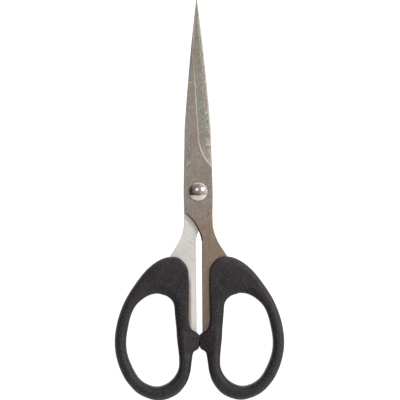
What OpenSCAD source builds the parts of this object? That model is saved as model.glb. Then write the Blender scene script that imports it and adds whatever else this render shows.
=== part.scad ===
// Fabric shears: two identical steel stampings, each moulded into a ring handle,
// turning on one domed rivet. They lie closed and flat in the XY plane.
// +Y points to the tips, +X to the front blade's handle, +Z to the rivet's dome.
// The origin is on the pivot axis, in the plane where the two blades meet.

/* [Blades] */
// Distance from the pivot axis to the tips
blade_reach = 84; // [78:1:90]
// Thickness of each steel stamping
steel_t = 1.8; // [1.6:0.1:2]
// Half the width of a blade beside the pivot
pivot_half_w = 6.4; // [6.2:0.1:6.6]
// Half the width of a blade where it starts to taper
taper_half_w = 5.75; // [5.5:0.05:6]
// Distance from the pivot axis to the start of the taper
taper_start = 27; // [24:1:30]
// Half the width of the rounded tip
tip_half_w = 0.2; // [0.15:0.05:0.3]
// How far the tapering edge bulges past a straight line
taper_belly = 0.38; // [0:0.02:0.5]
// Distance from the pivot axis to the heel of the sharpened edge
edge_start = 20; // [18:0.5:22]
// How far sharpening has set the cutting edge back
edge_setback = 0.5; // [0.3:0.05:0.6]
// Slope of the ground bevel, in degrees
bevel_angle = 14.5; // [12:0.5:16]
// Slope of the sharpened edge, in degrees
edge_angle = 22; // [20:1:25]
// Thickness left at the cutting edge
edge_t = 0.25; // [0.2:0.01:0.3]
// Depth of the hollow ground into each inner face
hollow_depth = 0.1; // [0.05:0.01:0.15]

/* [Pivot] */
// Diameter of the rivet's domed head
rivet_head_d = 8; // [7.5:0.1:9]
// Height of the rivet's domed head
rivet_head_h = 2.4; // [1.8:0.1:2.8]
// Diameter of the rivet's shank in the turning blade
rivet_shank_d = 4.5; // [4:0.1:5]
// Radial clearance of the turning blade on the shank
pivot_clearance = 0.05; // [0.02:0.01:0.1]
// Diameter of the washer under the peened tail
washer_d = 9; // [8.5:0.1:10]
// Thickness of the washer
washer_t = 0.6; // [0.5:0.1:0.8]
// Diameter of the peened tail
tail_d = 6.6; // [6.2:0.1:7]
// Height of the peened tail
tail_h = 1.1; // [0.9:0.1:1.3]

/* [Handles] */
// Thickness of the moulded rings
handle_t = 10; // [9.6:0.1:10.6]
// Thickness of the pad where the steel enters the handle
pad_t = 8.6; // [8:0.1:9]
// Gap between the two stop nubs when the shears are closed
nub_gap = 0.04; // [0.04:0.02:0.3]

/* [Hidden] */
// Half of the hair's breadth between the two inner faces
mating_gap = 0.02;
// Axial play under the rivet's head
head_play = 0.03;
// Outer face of a stamping, from the plane where the blades meet
outer_z = mating_gap + steel_t;
pivot_bore_d = rivet_shank_d + 2 * pivot_clearance;
// Half the gap between the two shanks
shank_inner_x = 1.35;
// Outline of the heel, from the corner below the pivot to the straight shank
heel_points = [
    [-6.2, -9], [-4.5, -10.6], [-2.4, -12.9], [-1, -15], [0, -17.2],
    [0.8, -19.4], [1.2, -21.3], [shank_inner_x, -23.6]
];
// Rounded end of the tang, inside the handle
tang_end_points = [[shank_inner_x, -62.5], [1.9, -64.9], [4.2, -66.2], [6.4, -64.6], [7, -61.5]];
// Outer side of the tang and of the shoulder, back up to the pivot
shoulder_points = [
    [7.4, -55], [7.9, -48], [9, -43], [11, -38.5], [12.9, -34.5], [13.5, -31.3], [12.6, -28.5],
    [11.2, -26.2], [9.8, -24], [8.1, -20.9], [6.85, -17.5], [6.35, -14.5], [6.2, -11],
    [6.3, -6], [pivot_half_w, 0]
];
// Where the ridge of the ground bevel starts, and the point it runs to
ridge_start = [0.2, 25];
ridge_far = [-2.2, 66.7];
// Radius of the curved line that ends the bevel below the ridge, and its slope
plunge_r = 20.3;
plunge_angle = 17;
// Half the width of the hollow in the inner face
hollow_half_w = 4.6;
hollow_r = (hollow_half_w * hollow_half_w + hollow_depth * hollow_depth) / (2 * hollow_depth);
hollow_start = 12;
// Holes in the tang that the moulded handle keys into: [x, y, diameter]
key_holes = [[9, -36.5, 4], [4.5, -62.4, 2.4]];
// Thickness that the rings are swept to before both faces are cut flat
ring_t = handle_t + 0.3;
// One row for each place round the ring: outer point, point on the finger hole, thickness
ring_stations = [
    [4.5, -36, 11.8, -47.6, pad_t], [5.5, -32.2, 12.9, -46.4, pad_t], [8.6, -29, 14.2, -45.5, pad_t],
    [12.7, -28.4, 16, -44.9, pad_t], [17.5, -29.9, 18.2, -44.4, pad_t], [22.6, -33.7, 21.2, -44.9, pad_t],
    [27.2, -39.2, 24.4, -46.6, ring_t], [31.6, -45.9, 27.6, -49.6, ring_t],
    [34.5, -52.3, 29.7, -53.6, ring_t], [36.3, -58.8, 31.1, -58.9, ring_t], [37, -65, 32, -65.2, ring_t],
    [36.5, -71.1, 31.5, -70.9, ring_t], [34.6, -77.5, 29.3, -76.8, ring_t],
    [31.4, -83.3, 26.4, -81.5, ring_t], [26, -88.5, 22.6, -84.2, ring_t], [18, -91, 18.4, -85.1, ring_t],
    [10.6, -88.8, 14.2, -83.7, ring_t], [6.2, -84.2, 11, -80.8, ring_t], [4.2, -79.2, 9.2, -77, ring_t],
    [3.4, -73.8, 9, -72.6, ring_t], [2.7, -70.2, 9.2, -70, ring_t], [0.6, -68.6, 9.4, -68, ring_t],
    [-0.2, -66.5, 9.6, -66.5, ring_t], [-0.2, -63.4, 9.9, -63.4, ring_t], [1.2, -61.6, 10, -61.5, ring_t],
    [3.6, -59.8, 10.1, -59.5, ring_t], [4.6, -56.5, 10.4, -56.5, ring_t], [4.6, -53, 10.7, -53, pad_t],
    [4.45, -44, 11, -49.5, pad_t]
];
// Steps between two stations, points round a section, and how square a section is
ring_steps = 3;
section_points = 16;
section_power = 2.8;
// Steps between two points of a smooth outline
outline_steps = 4;
// Points along each tapering edge
taper_steps = 12;
// A length that reaches past the whole object
far = 200;
// Facets of round shapes, and of the very large round of the hollow
$fn = 72;
hollow_fn = 360;

// Catmull-Rom curve between b and c, with a and d as its neighbours
function curve_point(a, b, c, d, t) =
    0.5 * (2 * b + (c - a) * t + (2 * a - 5 * b + 4 * c - d) * t * t
        + (3 * b - a - 3 * c + d) * t * t * t);

// Smooth open line through the points
function smooth_line(p, steps) = [
    for (i = [0:len(p) - 2])
        for (k = [0:steps - 1])
            curve_point(p[max(i - 1, 0)], p[i], p[i + 1], p[min(i + 2, len(p) - 1)], k / steps),
    p[len(p) - 1]
];

// Smooth closed line through the points
function smooth_loop(p, steps) = [
    for (i = [0:len(p) - 1])
        for (k = [0:steps - 1])
            curve_point(p[(i + len(p) - 1) % len(p)], p[i], p[(i + 1) % len(p)],
                p[(i + 2) % len(p)], k / steps)
];

// Half the width of the closed blades at a distance y past the pivot
function half_w(y) =
    y < taper_start
        ? pivot_half_w + (taper_half_w - pivot_half_w) * y / taper_start
        : let (t = (y - taper_start) / (blade_reach - taper_start))
            tip_half_w + (taper_half_w - tip_half_w) * (1 - t) + 4 * taper_belly * t * (1 - t);

// Height of the tapering part at step i
function taper_y(i) = taper_start + (blade_reach - taper_start) * i / taper_steps;

// Outline of one stamping, seen from its outer face
function stamping_outline() = concat(
    [[half_w(edge_start), edge_start], [half_w(edge_start) - edge_setback, edge_start]],
    [for (i = [0:taper_steps - 1]) [half_w(taper_y(i)) - edge_setback, taper_y(i)]],
    [[0, blade_reach]],
    [for (i = [taper_steps:-1:0]) [-half_w(taper_y(i)), taper_y(i)]],
    [[-pivot_half_w, 0]],
    smooth_line(heel_points, outline_steps),
    smooth_line(tang_end_points, outline_steps),
    smooth_line(shoulder_points, outline_steps)
);

// Everything above a plane that falls away to +X, hinged on a line at the given place
module above_slope(place, lean, slope) {
    translate(place)
        rotate([0, 0, lean])
            rotate([0, slope, 0])
                translate([-far / 2, 0, 0])
                    cube([far, far, far / 2]);
}

// Angle of the line from a to b, measured from +Y towards -X
function lean_of(a, b) = atan2(a[0] - b[0], b[1] - a[1]);

// Stock ground away from the outer face to make the long bevel and its curved end
module bevel_cut() {
    lean = lean_of(ridge_start, ridge_far);
    cone_h = 2 * steel_t;
    cone_run = steel_t / tan(plunge_angle);
    intersection() {
        above_slope([ridge_start[0] + ridge_start[1] * tan(lean), 0, outer_z], lean, bevel_angle);
        union() {
            translate([ridge_start[0] + plunge_r, ridge_start[1], outer_z - steel_t])
                cylinder(h = cone_h, r1 = plunge_r - cone_run, r2 = plunge_r + cone_run);
            translate([-far / 2, ridge_start[1], -far / 4])
                cube([far, far, far / 2]);
        }
    }
}

// Stock honed away along the cutting edge
module edge_cut() {
    heel = [half_w(edge_start) - edge_setback, edge_start];
    tip = [0, blade_reach];
    above_slope([heel[0], heel[1], mating_gap + edge_t], lean_of(heel, tip), edge_angle);
}

// Shallow hollow along the inner face, so that the blades touch only at their edges
module hollow_cut() {
    translate([0, hollow_start, mating_gap + hollow_depth - hollow_r])
        rotate([-90, 0, 0])
            cylinder(h = far, r = hollow_r, $fn = hollow_fn);
}

// Flat blank of a stamping, with its pivot bore and key holes
module blank() {
    difference() {
        translate([0, 0, mating_gap])
            linear_extrude(steel_t)
                polygon(stamping_outline());
        cylinder(h = far, d = pivot_bore_d, center = true);
        for (hole = key_holes)
            translate([hole[0], hole[1], 0])
                cylinder(h = far, d = hole[2], center = true);
    }
}

// One finished blade with its tang, as the front blade lies
module stamping() {
    difference() {
        blank();
        bevel_cut();
        edge_cut();
        hollow_cut();
    }
}

// One ring of points round the handle's section at a station
function section(station) = [
    for (j = [0:section_points - 1])
        let (
            a = 360 * j / section_points,
            across = 0.5 + 0.5 * sign(cos(a)) * pow(abs(cos(a)), 2 / section_power),
            up = 0.5 * station[4] * sign(sin(a)) * pow(abs(sin(a)), 2 / section_power)
        )
        [
            station[2] + (station[0] - station[2]) * across,
            station[3] + (station[1] - station[3]) * across,
            up
        ]
];

// Closed surface through every section round the ring
module ring() {
    stations = smooth_loop(ring_stations, ring_steps);
    n = len(stations);
    m = section_points;
    points = [for (s = stations) each section(s)];
    faces = [
        for (i = [0:n - 1])
            for (j = [0:m - 1])
                let (
                    i2 = (i + 1) % n,
                    j2 = (j + 1) % m
                )
                each [
                    [i * m + j, i * m + j2, i2 * m + j2],
                    [i * m + j, i2 * m + j2, i2 * m + j]
                ]
    ];
    polyhedron(points = points, faces = faces);
}

// One moulded handle, with flat faces, a flat nub and the tang's place inside it
module moulding() {
    difference() {
        intersection() {
            ring();
            translate([nub_gap / 2, -far, -handle_t / 2])
                cube([far, far, handle_t]);
        }
        blank();
    }
}

// Puts a front part where its twin lies, half a turn about Y
module turned_over() {
    rotate([0, 180, 0])
        children();
}

// Cap of a sphere standing on z = 0
module dome(d, h) {
    r = (d * d / 4 + h * h) / (2 * h);
    intersection() {
        translate([0, 0, h - r])
            sphere(r = r);
        cylinder(h = far, d = d);
    }
}

module front_blade() {
    color([0.62, 0.58, 0.54])
        stamping();
}

module back_blade() {
    color([0.78, 0.77, 0.74])
        turned_over()
            stamping();
}

module front_handle() {
    color([0.18, 0.17, 0.18])
        moulding();
}

module back_handle() {
    color([0.18, 0.17, 0.18])
        turned_over()
            moulding();
}

module pivot_rivet() {
    color([0.82, 0.8, 0.78]) {
        translate([0, 0, outer_z + head_play])
            dome(rivet_head_d, rivet_head_h);
        translate([0, 0, -mating_gap])
            cylinder(h = steel_t + 2 * mating_gap + head_play, d = rivet_shank_d);
        translate([0, 0, -outer_z - washer_t])
            cylinder(h = steel_t + washer_t, d = pivot_bore_d);
        turned_over()
            translate([0, 0, outer_z + washer_t])
                dome(tail_d, tail_h);
    }
}

module rivet_washer() {
    color([0.7, 0.69, 0.67])
        translate([0, 0, -outer_z - washer_t])
            difference() {
                cylinder(h = washer_t, d = washer_d);
                translate([0, 0, -washer_t])
                    cylinder(h = 3 * washer_t, d = pivot_bore_d);
            }
}

front_blade();
back_blade();
front_handle();
back_handle();
pivot_rivet();
rivet_washer();
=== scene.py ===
# %% [markdown]
# # Fabric shears, built in Blender
# The real shears are two identical steel stampings that cross on one rivet. Each stamping runs on
# as a tang into a moulded plastic ring. The frame brings exact but plain solids for all of them.
# This script loads that frame, then models each piece again with the detail that a maker leaves:
# ground bevels, a honed edge, rolled rims and the marks of the tools.

import math

import bmesh
import bpy
from mathutils import Matrix, Vector


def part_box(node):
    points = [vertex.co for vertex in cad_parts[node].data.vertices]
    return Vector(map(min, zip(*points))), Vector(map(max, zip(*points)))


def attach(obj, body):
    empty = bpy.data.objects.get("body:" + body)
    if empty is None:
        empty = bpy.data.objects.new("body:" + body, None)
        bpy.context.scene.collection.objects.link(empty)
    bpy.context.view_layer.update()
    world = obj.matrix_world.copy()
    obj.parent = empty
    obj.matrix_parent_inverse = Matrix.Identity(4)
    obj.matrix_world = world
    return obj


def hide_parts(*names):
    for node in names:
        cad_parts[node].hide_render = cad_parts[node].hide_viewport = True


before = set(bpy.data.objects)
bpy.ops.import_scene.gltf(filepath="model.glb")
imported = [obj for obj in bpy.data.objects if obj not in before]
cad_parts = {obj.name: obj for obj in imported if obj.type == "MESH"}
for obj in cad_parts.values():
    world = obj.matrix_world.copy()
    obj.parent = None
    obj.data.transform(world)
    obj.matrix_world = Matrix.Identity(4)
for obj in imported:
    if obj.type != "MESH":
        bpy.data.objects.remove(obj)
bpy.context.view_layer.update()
MM = 0.001

# %% [markdown]
# ## Sizes that come from the frame
# Every length below is in millimetres. The blade's thickness and reach, the ring's thickness and the
# main sizes of the rivet and the washer are read from the packed nodes, so the detail always fits
# the solids. Only the nubs are a hair longer here, so that they look closed when they meet.

# %% Read the main sizes
def node_box(name):
    """Lowest and highest corner of a packed node, in millimetres."""
    low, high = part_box(name)
    return [v / MM for v in low], [v / MM for v in high]

BLADE_LOW, BLADE_HIGH = node_box("front_blade")
RIVET_LOW, RIVET_HIGH = node_box("pivot_rivet")
WASHER_LOW, WASHER_HIGH = node_box("rivet_washer")
INNER_Z, OUTER_Z = BLADE_LOW[2], BLADE_HIGH[2]
STEEL_T = OUTER_Z - INNER_Z
REACH, TANG_END = BLADE_HIGH[1], BLADE_LOW[1]
RING_HALF_T = node_box("front_handle")[1][2]
NUB_X = 0.002
print(f"steel {STEEL_T:.2f} mm, reach {REACH:.1f} mm, ring half thickness {RING_HALF_T:.2f} mm")

# %% [markdown]
# ## Smooth lines through a few points
# A shoulder or a bow is a free curve that the toolmaker drew by hand. A Catmull-Rom line passes
# through the few points that matter, and bends smoothly between them.

# %% Curve helpers
def curve_point(a, b, c, d, t):
    """One coordinate of a Catmull-Rom curve between b and c."""
    return 0.5 * (2 * b + (c - a) * t + (2 * a - 5 * b + 4 * c - d) * t * t
                  + (3 * b - a - 3 * c + d) * t ** 3)

def smooth_line(points, steps, closed=False):
    """The points of a smooth line through the given rows of numbers."""
    n = len(points)
    pick = (lambda i: points[i % n]) if closed else (lambda i: points[min(max(i, 0), n - 1)])
    line = []
    for i in range(n if closed else n - 1):
        for k in range(steps):
            rows = zip(pick(i - 1), pick(i), pick(i + 1), pick(i + 2))
            line.append([curve_point(*row, k / steps) for row in rows])
    return line if closed else line + [list(points[-1])]

def x_at(line, y):
    """Where a line that rises or falls steadily in y crosses the given y."""
    for (x0, y0), (x1, y1) in zip(line, line[1:]):
        if min(y0, y1) <= y <= max(y0, y1):
            return x0 if y0 == y1 else x0 + (x1 - x0) * (y - y0) / (y1 - y0)
    return line[0][0] if abs(y - line[0][1]) < abs(y - line[-1][1]) else line[-1][0]

def mix(a, b, t):
    """The number that lies the share t of the way from a to b."""
    return a + (b - a) * t

def clamp(v, low, high):
    """The number v, held between two limits."""
    return min(max(v, low), high)

def ramp(v, start, span):
    """Rises from 0 at start to 1 at the end of the span."""
    return clamp((v - start) / span, 0, 1)

print("points of a bend in 4 steps:", smooth_line([(0, 0), (1, 1), (2, 0)], 4))

# %% [markdown]
# ## Shader maths as plain expressions
# A material is a sum of small facts: a cloudy tint, fine lines, a few scratches. Wrapping a socket
# in a class that knows + - * / keeps each of those facts on one readable line.

# %% Node maker
class Val:
    """A node socket that takes part in arithmetic."""

    def __init__(self, tree, socket):
        self.tree, self.socket = tree, socket

    def math(self, operation, *others):
        node = self.tree.nodes.new("ShaderNodeMath")
        node.operation = operation
        for slot, value in zip(node.inputs, (self, *others)):
            plug(self.tree, slot, value)
        return Val(self.tree, node.outputs[0])

    def __add__(self, other):
        return self.math("ADD", other)

    def __sub__(self, other):
        return self.math("SUBTRACT", other)

    def __neg__(self):
        return self * -1

    def __rsub__(self, other):
        return -self + other

    def __mul__(self, other):
        return self.math("MULTIPLY", other)

    def __truediv__(self, other):
        return self.math("DIVIDE", other)

    def __pow__(self, other):
        return self.math("POWER", other)

    def __gt__(self, other):
        return self.math("GREATER_THAN", other)

    __radd__ = __add__
    __rmul__ = __mul__

def plug(tree, socket, value):
    """Sets a socket to a number or links it to another socket."""
    if isinstance(value, Val):
        tree.links.new(value.socket, socket)
    else:
        socket.default_value = value

class Maker:
    """Adds nodes to one tree."""

    def __init__(self, tree):
        self.tree = tree

    def node(self, kind, settings=None, out=0, **sockets):
        """A node of any type, with its settings first. Sockets go by name, or i0, i1 and so on."""
        node = self.tree.nodes.new(kind)
        for name, value in (settings or {}).items():
            setattr(node, name, value)
        for name, value in sockets.items():
            key = int(name[1:]) if name[0] == "i" and name[1:].isdigit() else name.replace("_", " ")
            plug(self.tree, node.inputs[key], value)
        return Val(self.tree, node.outputs[out])

    def vector(self, operation, *values, out=0):
        """A Vector Math node."""
        sockets = {f"i{index}": value for index, value in enumerate(values)}
        return self.node("ShaderNodeVectorMath", {"operation": operation}, out, **sockets)

    def blend(self, factor, a, b):
        """A colour the given share of the way from a to b."""
        return self.node("ShaderNodeMix", {"data_type": "RGBA"}, 2, i0=factor, i6=a, i7=b)

    def step(self, value, low, high):
        """0 below low, 1 above high, smooth between."""
        return self.node("ShaderNodeMapRange", {"interpolation_type": "SMOOTHSTEP"},
                         Value=value, From_Min=low, From_Max=high)

    def axes(self, vector):
        """The three numbers of a vector."""
        split = self.node("ShaderNodeSeparateXYZ", Vector=vector).socket.node
        return [Val(self.tree, output) for output in split.outputs]

    def grey(self, level):
        """The same number on all three channels."""
        return self.node("ShaderNodeCombineXYZ", X=level, Y=level, Z=level)

    def place(self, turn=0.0, stretch=(1, 1, 1), shift=(0, 0, 0)):
        """Object coordinates in millimetres, turned about Z and then stretched."""
        spot = self.node("ShaderNodeTexCoord", out=3)
        turned = self.node("ShaderNodeMapping", Vector=spot, Location=shift,
                           Rotation=(0, 0, turn), Scale=(1 / MM, 1 / MM, 1 / MM))
        return self.vector("MULTIPLY", turned, stretch)

    def noise(self, where, scale=1.0, detail=2.0, rough=0.5):
        """Soft random values around one half."""
        return self.node("ShaderNodeTexNoise", Vector=where, Scale=scale, Detail=detail,
                         Roughness=rough)

def new_material(name):
    """An empty node material, its maker and its main shader node."""
    material = bpy.data.materials.new(name)
    material.use_nodes = True
    tree = material.node_tree
    return material, Maker(tree), tree.nodes["Principled BSDF"]

print("shader helpers:", [name for name in vars(Maker) if name[0] != "_"])

# %% [markdown]
# ## Ground and polished steel
# All of a blade is the same strip. What changes from face to face is how it was finished: rolled and
# tumbled outside, ground across on the bevel, honed at the edge, and ground bright inside. So one
# function makes every steel finish, from the direction, fineness and depth of its lines.

# %% Steel finishes
# How many marks of each kind fit in a millimetre, across, along and through the blade
LINES_PER_MM, STREAKS_PER_MM = (7, 0.25, 3), (1.3, 0.09, 1.3)
CLOUDS_PER_MM, MOTTLES_PER_MM, GRIT_PER_MM = (0.32, 0.14, 0.3), (1.0, 0.8, 1), (2.6, 2.2, 2)
SCRATCHES_PER_MM, GLINTS_PER_MM = (11, 0.4, 2), (1.9, 1.5, 1.5)
SCRATCH_TURN, SCRATCH_TINT = 0.55, (0.8, 0.78, 0.75, 1)
GLINT_TINT, MAX_GLINT = (0.9, 0.88, 0.84, 1), 0.5

def steel(name, warm, cool, rough, turn, depth, metal=1.0, fine=1.0, speckle=0.5, patches=()):
    """A steel finish. Its grinding lines run at the angle turn from the blade's length.

    The lines are depth millimetres deep, and fine times as close as usual. Speckle says how spotty
    the steel is. Each patch is (mask maker, colour): a place where wear or heat changes the tint, or
    where shade or a highlight is painted into it.
    """
    material, make, shader = new_material(name)
    across, along, through = LINES_PER_MM
    lines = make.noise(make.place(turn, (across * fine, along, through)), detail=3, rough=0.6)
    streaks = make.noise(make.place(turn, STREAKS_PER_MM, (3, 7, 1)), detail=2)
    cloud = make.noise(make.place(0, CLOUDS_PER_MM, (5, 2, 8)), detail=4, rough=0.6)
    mottle = make.noise(make.place(0, MOTTLES_PER_MM, (9, 4, 2)), detail=2, rough=0.6)
    grit = make.noise(make.place(0, GRIT_PER_MM, (1, 4, 7)), detail=2, rough=0.7)
    x, y, _ = make.axes(make.place())
    tint = make.step(cloud * 0.5 + mottle * 0.5, 0.4, 0.6)
    colour = make.blend(tint, (*warm, 1), (*cool, 1))
    for mask, shade in patches:
        colour = make.blend(mask(make, x, y), colour, (*shade, 1))
    spots = (grit - 0.5) * speckle * 2.2 + (mottle - 0.5) * speckle * 1.2
    tone = 1 + spots + (streaks - 0.5) * 0.35 + (lines - 0.5) * 0.35
    colour = make.vector("MULTIPLY", colour, make.grey(tone))
    scratch = make.noise(make.place(turn + SCRATCH_TURN, SCRATCHES_PER_MM, (1, 1, 6)), detail=1)
    scratch = make.step(scratch, 0.74, 0.8)
    colour = make.blend(scratch * 0.3, colour, SCRATCH_TINT)
    glint = make.step(make.noise(make.place(0, GLINTS_PER_MM, (6, 2, 3)), detail=1), 0.68, 0.76)
    colour = make.blend(glint * min(speckle, MAX_GLINT) * 0.5, colour, GLINT_TINT)
    plug(make.tree, shader.inputs["Base Color"], colour)
    shader.inputs["Metallic"].default_value = metal
    roughness = rough + (lines - 0.5) * 0.2 + (cloud - 0.5) * 0.16
    plug(make.tree, shader.inputs["Roughness"], roughness)
    bump = make.node("ShaderNodeBump", Strength=0.6, Distance=depth * MM,
                     Height=lines - scratch * 0.6 + grit * 0.4)
    plug(make.tree, shader.inputs["Normal"], bump)
    return material

print("marks in a millimetre across the lines:", LINES_PER_MM[0])

# %% [markdown]
# ## Where wear, heat and painted light change the steel
# Used steel isn't one colour. The tip and the shank have browned, the lower shank is brighter and
# creamier, and a few scratches cross the flat. Shade and highlight are painted in too: painted shade
# between the handles, beside the plastic and along the heel, and a ridge painted paler towards the
# pivot. Each of these is a mask: a function of the place on the blade that rises from 0 to 1 over a
# few millimetres. Numbers in a mask are such places, so a patch stays where it is at every pose and
# from every side.

# %% Masks along the blade
TIP_WEAR = (42, 64)

def towards_tip(make, x, y):
    """Rises along the blade's upper third."""
    return make.step(y, *TIP_WEAR)

def towards_pivot(make, x, y):
    """Rises down the curved end of the ridge."""
    return make.step(-y, -27, -18)

def low_bevel(make, x, y):
    """The lower end of the bevel, which took most heat."""
    return make.step(-y, -36, -16) * 0.8

def at_plunge(make, x, y):
    """The bright end of the bevel beside the edge."""
    side = x.math("ABSOLUTE")
    corner = make.step(side + (y * -0.35), -2.3, 1.2)
    return corner * make.step(side, 2.6, 5.2) * make.step(-y, -22, -18)

def below_pivot(make, x, y):
    """The shank, which heat left a little browner than the blade."""
    return make.step(-y, 3, 18)

def heel_painted_shade(make, x, y):
    """Painted shade: the dark line where the heel crosses the other blade."""
    return make.step(-y, 8, 9) * (1 - make.step(-y, 21, 22.5))

def brighter_lower_shank(make, x, y):
    """The lower shank, brighter and creamier."""
    return make.step(-y, 26, 42)

def shade_between_handles(make, x, y):
    """Painted shade on the end of the shank between the two handles."""
    return make.step(-y, 40, 54)

def shadow_beside_plastic(make, x, y):
    """Painted shadow of the moulded handle on the strip of the shank beside it."""
    return make.step(x.math("ABSOLUTE"), 3.1, 4.0) * make.step(-y, 36, 41)

print(f"the tip browns from {TIP_WEAR[0]} to {TIP_WEAR[1]} mm past the pivot")

# %% Scratches on the flat
# The two ends of each scratch. Its tint is full up to the core and gone at the rim, which are
# distances from its middle line.
NICKS = (((-4.9, 11.4), (-3.6, 13.1)), ((-4.7, 12.9), (-3.7, 12.0)), ((-4.6, 47.2), (-2.4, 47.9)),
         ((-2.9, 4.5), (-2.3, 5.6)), ((-3.6, 36.2), (-3.1, 37.4)))
NICK_CORE, NICK_RIM = 0.1, 0.22

def short_line(make, x, y, start, end):
    """One scratch between two points."""
    length = math.dist(start, end)
    along_x, along_y = (end[0] - start[0]) / length, (end[1] - start[1]) / length
    from_x, from_y = x + -start[0], y + -start[1]
    along = from_x * along_x + from_y * along_y
    aside = (from_x * along_y - from_y * along_x).math("ABSOLUTE")
    return (along > 0) * (1 - (along > length)) * (1 - make.step(aside, NICK_CORE, NICK_RIM))

def nicks(make, x, y):
    """The scratches that years of use left on the flat."""
    first, *others = [short_line(make, x, y, *ends) for ends in NICKS]
    for line in others:
        first = first.math("MAXIMUM", line)
    return first * 0.6

print("scratches on the flat:", len(NICKS))

# %% [markdown]
# ## Eight finishes on one stamping
# A stamping could have one material with many masks, but its faces are known, so each gets its own.
# The two colours of a finish are the warm and the cool tint that its clouds drift between. The
# numbers after them are the roughness, the angle of the lines in radians and their depth.

# %% The finishes of one stamping
# The shank between the handles is painted darker, a painted shade.
OUTER_STEEL = steel(
    "tumbled_outer_steel", (0.418, 0.34, 0.292), (0.412, 0.368, 0.31), 0.38, 0, 0.01,
    patches=((below_pivot, (0.396, 0.298, 0.222)), (shade_between_handles, (0.33, 0.243, 0.18)),
             (towards_tip, (0.29, 0.262, 0.225)), (nicks, (0.8, 0.74, 0.7))))
BEVEL_STEEL = steel(
    "ground_bevel_steel", (0.31, 0.285, 0.24), (0.298, 0.298, 0.245), 0.25, 0.5, 0.006,
    patches=((low_bevel, (0.31, 0.273, 0.23)), (at_plunge, (0.52, 0.48, 0.44)),
             (towards_tip, (0.27, 0.24, 0.2))))
HONED_STEEL = steel(
    "honed_edge_steel", (0.26, 0.22, 0.19), (0.34, 0.305, 0.27), 0.25, 1.1, 0.004, speckle=0.6,
    patches=((towards_tip, (0.24, 0.215, 0.185)),))
# Beside the moulded handle the shank is painted darker, a painted shadow of the plastic.
INNER_STEEL = steel(
    "bright_inner_steel", (0.84, 0.81, 0.74), (0.82, 0.81, 0.76), 0.45, -0.95, 0.02,
    metal=0.45, fine=0.4, speckle=0.12,
    patches=((brighter_lower_shank, (1.0, 0.96, 0.88)), (shadow_beside_plastic, (0.5, 0.42, 0.35))))
# Along the heel the wall steel is painted darker still, a painted shade.
WALL_STEEL = steel(
    "sheared_wall_steel", (0.2, 0.165, 0.14), (0.28, 0.24, 0.21), 0.5, 1.57, 0.02,
    patches=((heel_painted_shade, (0.1, 0.078, 0.065)),))
# The ridge's facet is painted paler, brighter still towards the pivot: a painted highlight.
RIDGE_HIGHLIGHT_STEEL = steel(
    "ridge_painted_highlight_steel", (0.68, 0.6, 0.55), (0.72, 0.65, 0.6), 0.34, 0, 0.004, speckle=0.2,
    patches=((towards_pivot, (0.74, 0.66, 0.61)), (towards_tip, (0.36, 0.33, 0.29))))
# A painted shadow: the darker line beside the ridge, on the flat's own level.
SHADE_STEEL = steel(
    "painted_shadow_line_steel", (0.36, 0.29, 0.25), (0.4, 0.34, 0.3), 0.4, 0, 0.004)
LINE_STEEL = steel(
    "honed_border_steel", (0.32, 0.285, 0.25), (0.38, 0.34, 0.3), 0.3, 0, 0.004,
    patches=((towards_tip, (0.26, 0.235, 0.2)),))

# The order is the order of the material slots on a stamping
STAMPING_STEELS = {"outer": OUTER_STEEL, "bevel": BEVEL_STEEL, "honed": HONED_STEEL,
                   "inner": INNER_STEEL, "wall": WALL_STEEL, "ridge": RIDGE_HIGHLIGHT_STEEL,
                   "shade": SHADE_STEEL, "line": LINE_STEEL}
FINISHES = list(STAMPING_STEELS)
print("steel finishes:", FINISHES)

# %% [markdown]
# ## One stamping
# A blade is cut from strip, then ground. Its outline could be one traced line, but a maker thinks of
# it as a spine and an edge: two sides that are known at every place along the blade. The shank's two
# sides are free curves. Above the pivot the blade tapers by a formula, with a slight belly, and its
# edge is set back where it was honed.

# %% Outline of the stamping
TAPER_START, EDGE_START, TIP_START = 27, 20, REACH - 9.5
EDGE_SETBACK = 0.5
PIVOT_HALF_W, TAPER_HALF_W, TIP_HALF_W, TAPER_BELLY = 6.4, 5.75, 0.2, 0.38
SHANK_INNER_X = 1.35
HEEL_TOP_X, HEEL_TOP, HEEL_FOOT = -6.2, -9, -21
HEEL_LINE = smooth_line([
    (HEEL_TOP_X, HEEL_TOP), (-4.5, -10.6), (-2.4, -12.9), (-1, -15), (0, -17.2), (0.8, -19.4),
    (1.2, -21.3), (SHANK_INNER_X, -23.6), (SHANK_INNER_X, -40), (SHANK_INNER_X, -62.5),
    (1.9, -64.9), (3.4, TANG_END)], 8)
SHOULDER_LINE = smooth_line([
    (5, TANG_END), (6.4, -64.6), (7, -61.5), (7.4, -55), (7.9, -48), (9, -43), (11, -38.5),
    (12.9, -34.5), (13.5, -31.3), (12.6, -28.5), (11.2, -26.2), (9.8, -24), (8.1, -20.9),
    (6.85, -17.5), (6.35, -14.5), (6.2, -11), (6.3, -6), (PIVOT_HALF_W, 0)], 8)

def half_width(y):
    """Half the width of the blade at y past the pivot."""
    if y < TAPER_START:
        return mix(PIVOT_HALF_W, TAPER_HALF_W, y / TAPER_START)
    t = (y - TAPER_START) / (REACH - TAPER_START)
    return TIP_HALF_W + (TAPER_HALF_W - TIP_HALF_W) * (1 - t) + 4 * TAPER_BELLY * t * (1 - t)

def spine_x(y):
    """The side of the stamping away from the cutting edge."""
    if y < HEEL_TOP:
        return x_at(HEEL_LINE, y)
    if y > 0:
        return -half_width(y)
    return mix(HEEL_TOP_X, -PIVOT_HALF_W, (y - HEEL_TOP) / -HEEL_TOP)

def edge_x(y):
    """The side with the cutting edge, and the shoulder below it."""
    if y < 0:
        return x_at(SHOULDER_LINE, y)
    if y < EDGE_START:
        return half_width(y)
    if y < TIP_START:
        return half_width(y) - EDGE_SETBACK
    return mix(half_width(TIP_START) - EDGE_SETBACK, 0, (y - TIP_START) / (REACH - TIP_START))

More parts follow.
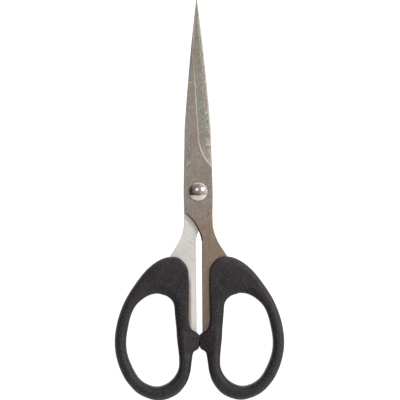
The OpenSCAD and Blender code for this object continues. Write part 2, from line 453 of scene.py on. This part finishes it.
print(f"width at the pivot {edge_x(0) - spine_x(0):.1f} mm, halfway {2 * half_width(REACH / 2):.1f} mm")

# %% [markdown]
# ## How the outer face is ground
# The grinding wheel takes a plane off the flat. Where the two meet is a straight ridge, and where the
# wheel lifts out, near the pivot, the ridge turns away to the edge in the round of the wheel. So the
# height of the face is a formula: the strip's own thickness, or the bevel where that is lower.

# %% Ground surfaces of the outer face
# Two places on the ridge, the wheel's radius, and how much the two bevels fall for each millimetre
RIDGE_START, RIDGE_FAR = (0.2, 25), (-2.2, 66.7)
PLUNGE_R = 20.3
BEVEL_FALL, HONED_FALL = 0.222, 0.27
# A ridge farther out than any edge, for places that the wheel didn't reach
NO_RIDGE = 99

def ridge_line_x(y):
    """The straight ridge between the flat and the bevel."""
    return mix(RIDGE_START[0], RIDGE_FAR[0], (y - RIDGE_START[1]) / (RIDGE_FAR[1] - RIDGE_START[1]))

def ridge_x(y):
    """The ridge, which curves out to the edge below the bevel."""
    if y >= RIDGE_START[1]:
        return ridge_line_x(y)
    reach = PLUNGE_R ** 2 - (RIDGE_START[1] - y) ** 2
    return RIDGE_START[0] + PLUNGE_R - math.sqrt(reach) if reach > 0 else NO_RIDGE

def outer_height(x, y):
    """Height of the ground outer face above the inner face."""
    bevel = STEEL_T - BEVEL_FALL * (x - ridge_line_x(y))
    if y < RIDGE_START[1]:
        radius = math.dist((x, y), (RIDGE_START[0] + PLUNGE_R, RIDGE_START[1]))
        bevel = STEEL_T - BEVEL_FALL * (PLUNGE_R - radius)
    return min(STEEL_T, bevel)

print(f"height at the middle of the bevel: {outer_height(3, 50):.2f} of {STEEL_T:.2f} mm")

# %% [markdown]
# ## A slice of the stamping
# Seen along its length every slice is a closed line: up the spine, over a small chamfer, across the
# flat, over a painted shadow line, over the ridge, down the bevel to the honed edge, and back along
# the hollow inner face. Every ridge has a narrow facet of its own, because a real ridge is never
# knife sharp, and that facet is what catches the light. Its steel is painted paler as well, a painted
# highlight.

# %% Sizes of the small faces
# The spine's chamfer on the blade and on the shank, and its depth as a share of its width
BLADE_CHAMFER, SHANK_CHAMFER = 0.18, 0.32
CHAMFER_DEPTH, HEEL_CHAMFER_DEPTH = 1.2, 0.6
# The ridge's facet near the pivot and on the blade, and the painted shadow line beside it as a share of
# that
FACET_LOW, FACET_UP, SHADOW_LINE_SHARE = 0.34, 0.22, 0.8
# The honed strip on the blade and at the tip, and the border line as a share of its width
STRIP_W, STRIP_TIP_W, BORDER_SHARE = 1.75, 0.5, 0.14
# Where along the blade the facet and the strip narrow and the hollow deepens: start and length
FACET_NARROWS, STRIP_NARROWS, HOLLOW_DEEPENS = (18, 9), (45, 39), (12, 4)
# How far a plain edge is rolled down, the least distance from ridge to edge, the hollow's depth
ROLL_DROP, CORNER, HOLLOW = 0.14, 0.3, 0.1
FLAT_STEPS, BEVEL_STEPS, HOLLOW_STEPS = 5, 10, 8
print(f"ridge facet {FACET_UP} mm, honed strip {STRIP_W} mm, hollow {HOLLOW} mm")

# %% The four sides of a slice
def spine_points(y, left, chamfer, flat):
    """Up the spine's wall and over its chamfer, which is shallower along the heel."""
    depth = HEEL_CHAMFER_DEPTH if HEEL_FOOT < y < HEEL_TOP else CHAMFER_DEPTH
    # Along the heel the chamfer takes the dark wall steel, a painted shade line.
    chamfer_finish = "wall" if HEEL_FOOT - 0.5 < y < HEEL_TOP else "outer"
    return [(left, 0.1, "wall"), (left, flat - depth * chamfer, "wall"),
            (left + chamfer, flat, chamfer_finish)]

def flat_points(y, start, ridge, facet, ground):
    """Across the flat, over the painted shadow line and onto the ridge's facet."""
    shadow_line = ridge - facet - SHADOW_LINE_SHARE * facet
    places = [mix(start, shadow_line, k / FLAT_STEPS) for k in range(FLAT_STEPS)]
    points = [(x, outer_height(x, y), "outer") for x in places]
    points.append((shadow_line, outer_height(ridge, y), "shade" if ground else "outer"))
    points.append((ridge - facet, outer_height(ridge - facet, y), "ridge" if ground else "outer"))
    return points

def bevel_points(y, right, ridge, facet, flat, ground):
    """Down the bevel, over the honed strip's border and down to the edge."""
    honed = ground and y >= EDGE_START
    strip = mix(STRIP_W, STRIP_TIP_W, ramp(y, *STRIP_NARROWS))
    strip = min(strip, 0.4 * (right - ridge))
    strip_x = right - strip
    low = outer_height(strip_x, y) - HONED_FALL * strip if honed else outer_height(right, y)
    if not ground:
        low = min(STEEL_T, flat) - ROLL_DROP
    finish = "bevel" if ground else "outer"
    first = ridge + min(facet, 0.5 * (right - ridge))
    points = []
    for k in range(BEVEL_STEPS + 1):
        x = mix(first, strip_x, k / BEVEL_STEPS)
        roll = max(0, (x - ridge) / (right - ridge)) ** 2
        points.append((x, outer_height(x, y) if ground else mix(STEEL_T, low, roll), finish))
    z_strip = points[-1][1]
    points[-1] = (strip_x, z_strip, "line" if honed else finish)
    border_z = mix(z_strip, low, 0.1)
    points.append((strip_x + BORDER_SHARE * strip, border_z, "honed" if honed else finish))
    return points + [(right, low, "wall"), (right, 0.05, "wall")]

def inner_points(y, left, right):
    """Back along the inner face, with the shallow hollow that lets the edges meet."""
    wide = right - left
    inset = min(0.12, 0.1 * wide)
    depth = HOLLOW * ramp(y, *HOLLOW_DEEPENS) * min(1, wide / 8)
    points = [(right - inset, 0, "inner")]
    for k in range(1, HOLLOW_STEPS):
        share = k / HOLLOW_STEPS
        arch = max(0, 1 - ((share - 0.5) / 0.4) ** 2)
        points.append((mix(right - inset, left + inset, share), depth * arch, "inner"))
    return points + [(left + inset, 0, "wall")]

print("points on the inner face:", len(inner_points(30, spine_x(30), edge_x(30))))

# %% One closed slice
def slice_points(y):
    """A closed slice of the stamping: a list of (x, height, finish of the next face).

    Each small face is also held to a share of the slice's width, so that all of them fit at the tip.
    """
    left, right = spine_x(y), edge_x(y)
    wide = right - left
    chamfer = min(SHANK_CHAMFER if y < HEEL_TOP else BLADE_CHAMFER, 0.12 * wide)
    flat = outer_height(left + chamfer, y)
    ground = y > 0 and ridge_x(y) < right - CORNER
    facet = min(mix(FACET_LOW, FACET_UP, ramp(y, *FACET_NARROWS)), 0.05 * wide)
    start = left + chamfer + min(0.4, 0.06 * wide)
    lowest_ridge = start + SHADOW_LINE_SHARE * facet + 1.1 * facet
    ridge = clamp(ridge_x(y), lowest_ridge, right - min(CORNER, 0.2 * wide))
    return (spine_points(y, left, chamfer, flat) + flat_points(y, start, ridge, facet, ground)
            + bevel_points(y, right, ridge, facet, flat, ground) + inner_points(y, left, right))

print("points in one slice:", len(slice_points(30)))

# %% [markdown]
# ## From slices to a mesh
# Joining the slices from tang to tip gives clean strips of quads, and each strip knows its finish.
# The slices lie close together only where the outline or the grinding turns quickly.

# %% Join the slices
FINE_STEP, COARSE_STEP, HAIR = 0.3, 0.9, 0.02
BUSY = ((-math.inf, -60), (-32, HEEL_TOP), (9, TAPER_START), (REACH - 3, math.inf))

def slice_places():
    """Where the slices lie along the blade."""
    places, y = [], TANG_END
    while y < REACH - HAIR / 2:
        places.append(y)
        y += FINE_STEP if any(low < y < high for low, high in BUSY) else COARSE_STEP
    places += [REACH - HAIR, HEEL_TOP, EDGE_START - HAIR, EDGE_START]
    return sorted(set(round(p, 3) for p in places))

def mesh_object(name, bm, materials):
    """A finished bmesh as an object in the scene."""
    mesh = bpy.data.meshes.new(name)
    bm.to_mesh(mesh)
    bm.free()
    for material in materials:
        mesh.materials.append(material)
    piece = bpy.data.objects.new(name, mesh)
    bpy.context.scene.collection.objects.link(piece)
    return piece

def stamping_mesh(name):
    """The stamping as the front blade lies, before its holes are cut."""
    bm = bmesh.new()
    rings, finishes = [], []
    for y in slice_places():
        points = slice_points(y)
        rings.append([bm.verts.new((x * MM, y * MM, (INNER_Z + z) * MM)) for x, z, _ in points])
        finishes.append([finish for _, _, finish in points])
    for (low, high), marks in zip(zip(rings, rings[1:]), finishes[1:]):
        for k in range(len(low)):
            k2 = (k + 1) % len(low)
            face = bm.faces.new((low[k], low[k2], high[k2], high[k]))
            face.material_index = FINISHES.index(marks[k])
            face.smooth = True
    for ring in (rings[0], rings[-1]):
        bm.faces.new(ring).material_index = FINISHES.index("wall")
    bmesh.ops.recalc_face_normals(bm, faces=bm.faces)
    return mesh_object(name, bm, STAMPING_STEELS.values())

print("slices along the stamping:", len(slice_places()))

# %% [markdown]
# ## Holes
# The pivot bore and the two key holes are punched straight through. A Boolean modifier with a plain
# cylinder is the same cut. It is worked out once and kept, so the finished piece carries no tools.

# %% Punch the holes
BORE_R = 2.3
# Place and radius of each key hole, which the plastic flows through when the handle is moulded
KEY_HOLES = ((9, -36.5, 2), (4.5, -62.4, 1.2))
PUNCH_LENGTH = 20

def cylinder_tool(x, y, radius, sides=48):
    """A round punch that reaches through everything."""
    bm = bmesh.new()
    bmesh.ops.create_cone(bm, cap_ends=True, segments=sides, radius1=radius * MM,
                          radius2=radius * MM, depth=PUNCH_LENGTH * MM,
                          matrix=Matrix.Translation((x * MM, y * MM, 0)))
    for face in bm.faces:
        face.material_index = FINISHES.index("wall")
    return mesh_object("punch", bm, [])

def cut(piece, tools):
    """Takes the tools' volume out of the piece and deletes the tools."""
    for tool in tools:
        modifier = piece.modifiers.new("cut", "BOOLEAN")
        modifier.operation, modifier.solver, modifier.object = "DIFFERENCE", "EXACT", tool
    depsgraph = bpy.context.evaluated_depsgraph_get()
    mesh = bpy.data.meshes.new_from_object(piece.evaluated_get(depsgraph))
    if max(abs(v.co.z) for v in mesh.vertices) > RING_HALF_T * MM:
        raise ValueError("the cut left its tool behind")
    piece.modifiers.clear()
    old, piece.data = piece.data, mesh
    bpy.data.meshes.remove(old)
    for tool in tools:
        bpy.data.objects.remove(tool)

def shade(piece, angle):
    """Smooth shading that breaks at edges sharper than the angle, led by the large faces."""
    piece.data.shade_smooth()
    piece.data.set_sharp_from_angle(angle=math.radians(angle))
    modifier = piece.modifiers.new("large_faces_lead", "WEIGHTED_NORMAL")
    modifier.keep_sharp = True

def blade(name):
    """One finished stamping as the front blade lies."""
    piece = stamping_mesh(name)
    cut(piece, [cylinder_tool(0, 0, BORE_R)] + [cylinder_tool(*hole) for hole in KEY_HOLES])
    return piece

print("holes in a blade:", 1 + len(KEY_HOLES))

# %% [markdown]
# ## Two blades from one stamping
# The back blade is the same stamping turned over about the line from handle to tip, as the real one
# is. The turn goes into its mesh, not onto the object, so its finish stays put when it moves.

# %% Make both blades
HALF_TURN = Matrix.Rotation(math.pi, 4, "Y")
STEEL_SHARP, RING_SHARP, TURNED_SHARP = 9, 40, 35

front_blade = blade("front_blade_ground")
back_blade = blade("back_blade_ground")
back_blade.data.transform(HALF_TURN)
for piece in (front_blade, back_blade):
    shade(piece, STEEL_SHARP)
print("front blade faces:", len(front_blade.data.polygons))

# %% [markdown]
# ## Moulded plastic
# The rings are black plastic from a spark-eroded mould: a fine even grain, dull, a little shinier
# where hands and tables rub the crown. The grain is a small bump and a matching roughness. The crown
# and the pad's top are also painted lighter, a painted sheen.

# %% Plastic finish
# How many grains, pits, clouds, pale specks and reddish blushes fit in a millimetre
GRAINS, PITS, PLASTIC_CLOUDS, SPECKS, BLUSHES = 1.9, 6, 0.16, 1.6, 1.1
# Where the ring rubs on tables and takes a painted sheen, as a share of its half thickness, and where
# the pad's top, painted lighter, starts
RUBBED_SHEEN_FROM, PAD_TOP_FROM, PAD_TOP_TO = 0.82, -39, -29

def moulded_plastic(name):
    """Black plastic with a mould's fine grain, worn shinier on its highest parts, painted lighter
    there.
    """
    material, make, shader = new_material(name)
    grain = make.noise(make.place(), GRAINS, 3, 0.7)
    pits = make.noise(make.place(), PITS, 2, 0.6)
    cloud = make.noise(make.place(), PLASTIC_CLOUDS, 3)
    _, y, z = make.axes(make.place())
    rubbed_and_sheen = make.step(z.math("ABSOLUTE"), RUBBED_SHEEN_FROM * RING_HALF_T, RING_HALF_T)
    pad_top_painted_light = make.step(y, PAD_TOP_FROM, PAD_TOP_TO)
    speck = make.noise(make.place(shift=(4, 4, 4)), SPECKS, 2, 0.7)
    blush = make.noise(make.place(shift=(7, 1, 4)), BLUSHES, 2, 0.7)
    colour = make.blend(cloud, (0.002, 0.0018, 0.0022, 1), (0.005, 0.0045, 0.0052, 1))
    colour = make.blend(make.step(speck, 0.52, 0.66) * 0.8, colour, (0.054, 0.047, 0.052, 1))
    colour = make.blend(make.step(blush, 0.45, 0.62) * 0.5, colour, (0.042, 0.02, 0.03, 1))
    # The crown is painted lighter, a painted sheen; its lower roughness is real wear.
    colour = make.blend(rubbed_and_sheen * 0.12, colour, (0.06, 0.055, 0.06, 1))
    # The pad's top is painted lighter, a painted highlight where it faces the light.
    colour = make.blend(pad_top_painted_light * 0.22, colour, (0.06, 0.056, 0.054, 1))
    plug(make.tree, shader.inputs["Base Color"], colour)
    shader.inputs["Specular IOR Level"].default_value = 0.42
    roughness = 0.55 + (grain - 0.5) * 0.5 + (cloud - 0.5) * 0.1 - rubbed_and_sheen * 0.05
    plug(make.tree, shader.inputs["Roughness"], roughness)
    bump = make.node("ShaderNodeBump", Strength=0.9, Distance=0.12 * MM, Height=grain + pits * 0.35)
    plug(make.tree, shader.inputs["Normal"], bump)
    return material

PLASTIC = moulded_plastic("moulded_black_plastic")
print("plastic finish:", PLASTIC.name)

# %% [markdown]
# ## The rings follow a rule
# At each station round the ring a slice runs from the finger hole to the outer wall: a round rise
# from the hole, a slope across the pad, and a rolled rim. Python places the stations, and Geometry
# Nodes sweeps the slice, so its roundness stays a named input that can be changed in one place.

# %% Stations of the ring
BOW, NECK, PAD, BROW, BAND, NUB = "bow", "neck", "pad", "brow", "band", "nub"
# Each station's outer point and hole point, and the kind of its slice
STATIONS = [
    (4.5, -36, 11.8, -47.6, BAND), (5.5, -32.2, 12.9, -46.4, BROW), (8.6, -29, 14.2, -45.5, BROW),
    (12.7, -28.4, 16, -44.9, PAD), (17.5, -29.9, 18.2, -44.4, PAD), (22.6, -33.7, 21.2, -44.9, PAD),
    (27.2, -39.2, 24.4, -46.6, NECK), (31.6, -45.9, 27.6, -49.6, BOW), (34.5, -52.3, 29.7, -53.6, BOW),
    (36.3, -58.8, 31.1, -58.9, BOW), (37, -65, 32, -65.2, BOW), (36.5, -71.1, 31.5, -70.9, BOW),
    (34.6, -77.5, 29.3, -76.8, BOW), (31.4, -83.3, 26.4, -81.5, BOW), (26, -88.5, 22.6, -84.2, BOW),
    (18, -91, 18.4, -85.1, BOW), (10.6, -88.8, 14.2, -83.7, BOW), (6.2, -84.2, 11, -80.8, BOW),
    (4.2, -79.2, 9.2, -77, BOW), (3.4, -73.8, 9, -72.6, BOW), (2.7, -70.2, 9.2, -70, NUB),
    (0.6, -68.6, 9.4, -68, NUB), (-0.2, -66.5, 9.6, -66.5, NUB), (-0.2, -63.4, 9.9, -63.4, NUB),
    (1.2, -61.6, 10, -61.5, NUB), (3.6, -59.8, 10.1, -59.5, BAND), (4.6, -56.5, 10.4, -56.5, BAND),
    (4.6, -53, 10.7, -53, BAND), (4.45, -44, 11, -49.5, BAND)]
# Crown height and rim height as shares of the half thickness. Then, in millimetres, the width of
# the round on the hole side and on the outer side, and how far each round falls.
SLICES = {
    BOW: (1.0, 1.0, 2.5, 2.6, 2.6, 2.6),
    NECK: (0.96, 0.93, 3.6, 3.6, 2.6, 2.8),
    PAD: (0.91, 0.81, 4.8, 4.0, 2.4, 2.6),
    BROW: (0.9, 0.84, 4.4, 1.4, 2.4, 1.5),
    BAND: (0.92, 0.91, 4.2, 1.3, 2.3, 1.5),
    NUB: (0.97, 0.68, 3.4, 0.6, 2.3, 0.8),
}
# What a slice's six numbers are called, and what each is measured in
STATION_SIZES = {"crown": RING_HALF_T * MM, "rim": RING_HALF_T * MM, "hole_round": MM,
                 "rim_round": MM, "hole_drop": MM, "rim_drop": MM}
RING_STEPS = 8

def ring_stations():
    """Smooth stations round the ring: outer point, hole point and the slice's six sizes."""
    rows = [(*row[:4], *SLICES[row[4]]) for row in STATIONS]
    stations = smooth_line(rows, RING_STEPS, closed=True)
    for row in stations:
        row[0] = max(row[0], NUB_X)
        row[4], row[5] = min(row[4], 1), min(row[5], 1)
    return stations

def station_loop(name):
    """A closed line of edges whose points carry each station's sizes as attributes."""
    stations = ring_stations()
    n = len(stations)
    mesh = bpy.data.meshes.new(name)
    corners = [(s[0] * MM, s[1] * MM, 0) for s in stations]
    mesh.from_pydata(corners, [(i, (i + 1) % n) for i in range(n)], [])
    for index, (label, unit) in enumerate(STATION_SIZES.items(), 4):
        sizes = mesh.attributes.new(label, "FLOAT", "POINT")
        sizes.data.foreach_set("value", [s[index] * unit for s in stations])
    for label, first in (("outer_point", 0), ("hole_point", 2)):
        flat = [v for s in stations for v in (s[first] * MM, s[first + 1] * MM, 0)]
        mesh.attributes.new(label, "FLOAT_VECTOR", "POINT").data.foreach_set("vector", flat)
    loop = bpy.data.objects.new(name, mesh)
    bpy.context.scene.collection.objects.link(loop)
    return loop

print("stations round the ring:", len(ring_stations()))

# %% [markdown]
# ## The sweep
# Curve to Mesh carries a circle round the stations. Set Position then moves each point of the circle
# to its place in the slice. A superellipse does the rounding: at a squareness of 2 the corners are
# plain quarter rounds, and a little above 2 they are fuller, as a moulder's radius is.

# %% Where a point belongs in its slice
def named(make, label, kind="FLOAT"):
    """A size that the stations or the circle carry."""
    return make.node("GeometryNodeInputNamedAttribute", {"data_type": kind}, Name=label)

def place_in_slice(make, square):
    """The place of each point of the circle: so far from the finger hole, and so high."""
    turn = named(make, "turn")
    across, up = turn.math("COSINE"), turn.math("SINE")
    outward = across > 0
    power = make.node("ShaderNodeMath", {"operation": "DIVIDE"}, i0=2.0, i1=square)
    lean_in = 1 - across.math("ABSOLUTE") ** power
    hole_point = named(make, "hole_point", "FLOAT_VECTOR")
    span = make.vector("SUBTRACT", named(make, "outer_point", "FLOAT_VECTOR"), hole_point)
    from_rim = make.vector("LENGTH", span, out=1) - named(make, "rim_round") * lean_in
    from_hole = named(make, "hole_round") * lean_in
    distance = outward * from_rim + (1 - outward) * from_hole
    level = outward * named(make, "rim") + (1 - outward) * named(make, "crown")
    drop = outward * named(make, "rim_drop") + (1 - outward) * named(make, "hole_drop")
    height = up.math("SIGN") * (level - drop * (1 - up.math("ABSOLUTE") ** power))
    reach = make.node("ShaderNodeVectorMath", {"operation": "SCALE"},
                      i0=make.vector("NORMALIZE", span), Scale=distance)
    lift = make.node("ShaderNodeCombineXYZ", Z=height)
    return make.vector("ADD", make.vector("ADD", hole_point, reach), lift)

# %% Geometry Nodes tree that sweeps the slice
TREE_INPUTS = {"Stations": "Geometry", "Slice sides": "Int", "Squareness": "Float",
               "Finish": "Material"}

def ring_tree():
    """Sweeps a slice round the stations. Its roundness and its sides are inputs."""
    tree = bpy.data.node_groups.new("ring_sweep", "GeometryNodeTree")
    for label, kind in TREE_INPUTS.items():
        tree.interface.new_socket(label, in_out="INPUT", socket_type="NodeSocket" + kind)
    tree.interface.new_socket("Ring", in_out="OUTPUT", socket_type="NodeSocketGeometry")
    make = Maker(tree)
    given = tree.nodes.new("NodeGroupInput")
    stations, sides, square, finish = (Val(tree, given.outputs[i]) for i in range(4))
    path = make.node("GeometryNodeMeshToCurve", Mesh=stations)
    circle = make.node("GeometryNodeCurvePrimitiveCircle", {"mode": "RADIUS"}, Resolution=sides,
                       Radius=MM)
    index = make.node("GeometryNodeInputIndex")
    turned = make.node("GeometryNodeStoreNamedAttribute", {"data_type": "FLOAT", "domain": "POINT"},
                       Geometry=circle, Name="turn", Value=(index + 0.5) / sides * math.tau)
    sweep = make.node("GeometryNodeCurveToMesh", Curve=path, Profile_Curve=turned)
    placed = make.node("GeometryNodeSetPosition", Geometry=sweep,
                       Position=place_in_slice(make, square))
    real = make.node("GeometryNodeRealizeInstances", Geometry=placed)
    done = make.node("GeometryNodeSetMaterial", Geometry=real, Material=finish)
    result = tree.nodes.new("NodeGroupOutput")
    plug(tree, result.inputs[0], done)
    return tree

RING_TREE = ring_tree()
print("nodes in the sweep:", len(RING_TREE.nodes))

# %% [markdown]
# ## One moulded handle
# The sweep is turned into a plain mesh. Then the flat tang's place is cut out of it, as it is in the
# real part, where the plastic was moulded round the steel. Both rings come out of the same mould.

# %% Helpers for the handle
def set_input(modifier, label, value):
    """Sets a modifier input by its socket's identifier."""
    for item in modifier.node_group.interface.items_tree:
        if item.item_type == "SOCKET" and item.in_out == "INPUT" and item.name == label:
            modifier[item.identifier] = value

def frozen(source, name):
    """A plain mesh object of what the source's modifiers make. The source is deleted."""
    depsgraph = bpy.context.evaluated_depsgraph_get()
    mesh = bpy.data.meshes.new_from_object(source.evaluated_get(depsgraph))
    mesh.name = name
    bpy.data.objects.remove(source)
    piece = bpy.data.objects.new(name, mesh)
    bpy.context.scene.collection.objects.link(piece)
    return piece

# The tool ends at this place on the shank, well clear of the plastic
TANG_TOOL_TOP = -20
TANG_PLACES = [y for y in slice_places() if y < TANG_TOOL_TOP]

def tang_tool():
    """The place that the flat tang fills inside the plastic."""
    bm = bmesh.new()
    up = [(spine_x(y), y) for y in TANG_PLACES]
    down = [(edge_x(y), y) for y in reversed(TANG_PLACES)]
    outline = [bm.verts.new((x * MM, y * MM, INNER_Z * MM)) for x, y in up + down]
    slab = bmesh.ops.extrude_face_region(bm, geom=[bm.faces.new(outline)])
    bmesh.ops.translate(bm, verts=[v for v in slab["geom"] if isinstance(v, bmesh.types.BMVert)],
                        vec=(0, 0, STEEL_T * MM))
    bmesh.ops.recalc_face_normals(bm, faces=bm.faces)
    return mesh_object("tang_tool", bm, [])

print("slices along the tang:", len(TANG_PLACES))

# %% Make both handles
RING_SIDES, RING_SQUARENESS = 48, 2.1
# Points nearer to each other than this are one point
MERGE = 0.002

def handle(name):
    """One moulded ring as the front handle lies, with the tang's place inside it."""
    loop = station_loop("stations")
    modifier = loop.modifiers.new("sweep", "NODES")
    modifier.node_group = RING_TREE
    set_input(modifier, "Slice sides", RING_SIDES)
    set_input(modifier, "Squareness", RING_SQUARENESS)
    set_input(modifier, "Finish", PLASTIC)
    ring = frozen(loop, name)
    bm = bmesh.new()
    bm.from_mesh(ring.data)
    bmesh.ops.remove_doubles(bm, verts=bm.verts, dist=MERGE * MM)
    bmesh.ops.recalc_face_normals(bm, faces=bm.faces)
    bm.to_mesh(ring.data)
    bm.free()
    cut(ring, [tang_tool()])
    shade(ring, RING_SHARP)
    return ring

front_handle = handle("front_handle_moulding")
back_handle = handle("back_handle_moulding")
back_handle.data.transform(HALF_TURN)
print("front handle faces:", len(front_handle.data.polygons))

# %% [markdown]
# ## Rivet and washer
# Both are turned parts, so each is a profile spun round the pivot axis. The rivet's head is a shallow
# dome over a straight rim. Its tail is peened over the washer behind the back blade, and the front
# blade turns on its shank.

# %% Spin the turned parts
def turned_part(name, profile, material, sides=96):
    """A profile of (radius, height) points spun about the pivot axis."""
    bm = bmesh.new()
    verts = [bm.verts.new((r * MM, 0, z * MM)) for r, z in profile]
    edges = [bm.edges.new(pair) for pair in zip(verts, verts[1:])]
    bmesh.ops.spin(bm, geom=verts + edges, axis=(0, 0, 1), cent=(0, 0, 0), angle=math.tau,
                   steps=sides)
    bmesh.ops.remove_doubles(bm, verts=bm.verts, dist=MERGE * MM)
    bmesh.ops.recalc_face_normals(bm, faces=bm.faces)
    piece = mesh_object(name, bm, [material])
    shade(piece, TURNED_SHARP)
    return piece

def cap_profile(radius, height, base, steps=14):
    """The arc of a dome from its rim to its crown."""
    ball = (radius ** 2 + height ** 2) / (2 * height)
    top = math.asin(min(1, radius / ball))
    return [(ball * math.sin(top * (1 - k / steps)),
             base + ball * math.cos(top * (1 - k / steps)) - (ball - height)) for k in range(steps + 1)]

print("points on the arc of a dome:", len(cap_profile(4, 1, 0)))

# %% Rivet
RIVET_STEEL = steel("polished_rivet_steel", (0.55, 0.485, 0.435), (0.59, 0.53, 0.48), 0.13, 0.4,
                    0.004, speckle=0.1)
HEAD_R, HEAD_TOP, HEAD_BASE = RIVET_HIGH[0], RIVET_HIGH[2], OUTER_Z + 0.03
SHANK_R, TAIL_R = 2.25, 3.25
# Heights of the straight rim on the head and on the tail, and the break above the head's rim
RIM_H, TAIL_RIM_H, RIM_BREAK = 0.85, 0.1, 0.06
WASHER_FACE, RIM_TOP = WASHER_LOW[2], HEAD_BASE + RIM_H
head = cap_profile(HEAD_R - RIM_BREAK, HEAD_TOP - RIM_TOP, RIM_TOP)
tail = cap_profile(TAIL_R, WASHER_FACE - RIVET_LOW[2] - TAIL_RIM_H, 0)
profile = [(r, WASHER_FACE - TAIL_RIM_H - z) for r, z in reversed(tail)]
profile += [(TAIL_R, WASHER_FACE), (BORE_R, WASHER_FACE), (BORE_R, -INNER_Z), (SHANK_R, -INNER_Z),
            (SHANK_R, HEAD_BASE), (HEAD_R - 0.2, HEAD_BASE), (HEAD_R, HEAD_BASE + 0.15),
            (HEAD_R, RIM_TOP - RIM_BREAK)]
profile += head
rivet = turned_part("pivot_rivet_domed", profile, RIVET_STEEL)
print("rivet faces:", len(rivet.data.polygons))

# %% Washer
WASHER_R, WASHER_BREAK = WASHER_HIGH[0], 0.12
top, bottom = WASHER_HIGH[2], WASHER_LOW[2]
washer = turned_part("rivet_washer_turned", [
    (BORE_R, top), (WASHER_R - WASHER_BREAK, top), (WASHER_R, top - WASHER_BREAK),
    (WASHER_R, bottom + WASHER_BREAK), (WASHER_R - WASHER_BREAK, bottom), (BORE_R, bottom),
    (BORE_R, top)], WALL_STEEL)
print("washer faces:", len(washer.data.polygons))

# %% [markdown]
# ## Hang every piece on its body
# Each modelled piece takes the place of one packed node and rides on that node's body.

# %% Ride and replace
PIECES = [
    (front_blade, "front_blade", "front_half", "ground_steel"),
    (back_blade, "back_blade", "back_half", "ground_steel"),
    (front_handle, "front_handle", "front_half", "moulded_plastic"),
    (back_handle, "back_handle", "back_half", "moulded_plastic"),
    (rivet, "pivot_rivet", "back_half", "polished_steel"),
    (washer, "rivet_washer", "back_half", "washer_steel")]
for piece, node, body, finish in PIECES:
    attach(piece, body)
    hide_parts(node)
print("pieces:", [piece.name for piece, *_ in PIECES])

# %% [markdown] ## Light table The shears lie on a pale surface that glows a little, so no dark
# shadow swallows the black plastic.

# %% Floor
FLOOR_HALF, FLOOR_GLOW = 3, 0.92

def light_table():
    """A large pale floor that touches the handles."""
    bm = bmesh.new()
    bmesh.ops.create_grid(bm, x_segments=1, y_segments=1, size=FLOOR_HALF)
    bmesh.ops.translate(bm, verts=bm.verts, vec=(0, 0, -RING_HALF_T * MM))
    material, _, shader = new_material("light_table")
    shader.inputs["Base Color"].default_value = (0.5, 0.5, 0.5, 1)
    shader.inputs["Roughness"].default_value = 0.9
    shader.inputs["Emission Color"].default_value = (1, 1, 1, 1)
    shader.inputs["Emission Strength"].default_value = FLOOR_GLOW
    return mesh_object("floor", bm, [material])

floor = light_table()
print("floor:", floor.name)

# %% [markdown]
# ## Sky and soft boxes
# Bright steel shows its surroundings, so the surroundings are part of the finish. In a studio white
# cards and black cards hang round such a piece. Here the sky does that: each card is a
# smooth step on the direction, and all of them add up to one level of grey. Two round lamps then
# put the small bright spots on the rivet.

# %% Sky
SKY_LEVEL, SKY_DARKEST = 0.43, 0.06

def studio_sky():
    """A grey sky with a white card below the handles, a black one above it, and others beside."""
    world = bpy.data.worlds.new("studio")
    bpy.context.scene.world = world
    world.use_nodes = True
    make = Maker(world.node_tree)
    x, y, z = make.axes(make.node("ShaderNodeTexCoord", out=0))
    white_card = make.step(-y + x.math("ABSOLUTE") * 0.19, 0.565, 0.63)
    black_card = make.step(-y, 0.1, 0.35) - white_card
    right_card = make.step(x, 0.05, 0.6)
    left_shade = make.step(-x, 0.6, 0.9)
    low_card = make.step(-z, -0.42, -0.22) * make.step(x + y, 0.1, 0.6)
    level = SKY_LEVEL + x * 0.24 + y * 0.05 + right_card * 0.2 - left_shade * 0.2
    level = level + white_card * 0.7 - black_card * 0.2 + low_card * 0.5
    background = world.node_tree.nodes["Background"]
    sky_grey = make.grey(level.math("MAXIMUM", SKY_DARKEST))
    plug(world.node_tree, background.inputs["Color"], sky_grey)
    background.inputs["Strength"].default_value = 1.0
    return world

print("sky:", studio_sky().name)

# %% Soft boxes
def soft_box(name, direction, distance, size, power):
    """A round lamp that looks at the pivot from the given direction."""
    lamp = bpy.data.lights.new(name, "AREA")
    lamp.shape, lamp.size, lamp.energy = "DISK", size, power
    holder = bpy.data.objects.new(name, lamp)
    way = Vector(direction).normalized()
    holder.location = way * distance
    holder.rotation_euler = way.to_track_quat("Z", "Y").to_euler()
    bpy.context.scene.collection.objects.link(holder)
    print(f"{name}: {size} m wide, {power} W")

LAMP_DISTANCE = 3
soft_box("soft_box_left", (-0.18, 0.32, 0.93), LAMP_DISTANCE, size=1.1, power=6)
soft_box("soft_box_right", (0.66, 0.352, 0.664), LAMP_DISTANCE, size=1.4, power=36)

# %% [markdown]
# ## Camera
# A flat thing is best seen from straight above through a long lens, which keeps its proportions true.

# %% Camera straight above
SENSOR = 36
CLIP_END = 10

def camera_above(centre, height, frame_width, roll):
    """A long lens that looks straight down on the shears."""
    lens = bpy.data.cameras.new("camera")
    lens.sensor_width = SENSOR
    lens.lens = SENSOR * height / frame_width
    lens.clip_end = CLIP_END
    holder = bpy.data.objects.new("camera", lens)
    holder.location = (centre[0] * MM, centre[1] * MM, height * MM)
    holder.rotation_euler = (0, 0, roll)
    bpy.context.scene.collection.objects.link(holder)
    bpy.context.scene.camera = holder

camera_above(centre=(0.74, -3.68), height=1200, frame_width=174.8, roll=-0.0085)
bpy.context.scene.view_settings.view_transform = "Standard"
print(f"lens: {bpy.context.scene.camera.data.lens:.0f} mm")

# %% [markdown]
# The modelled pieces have to stay inside the box of the packed solids.
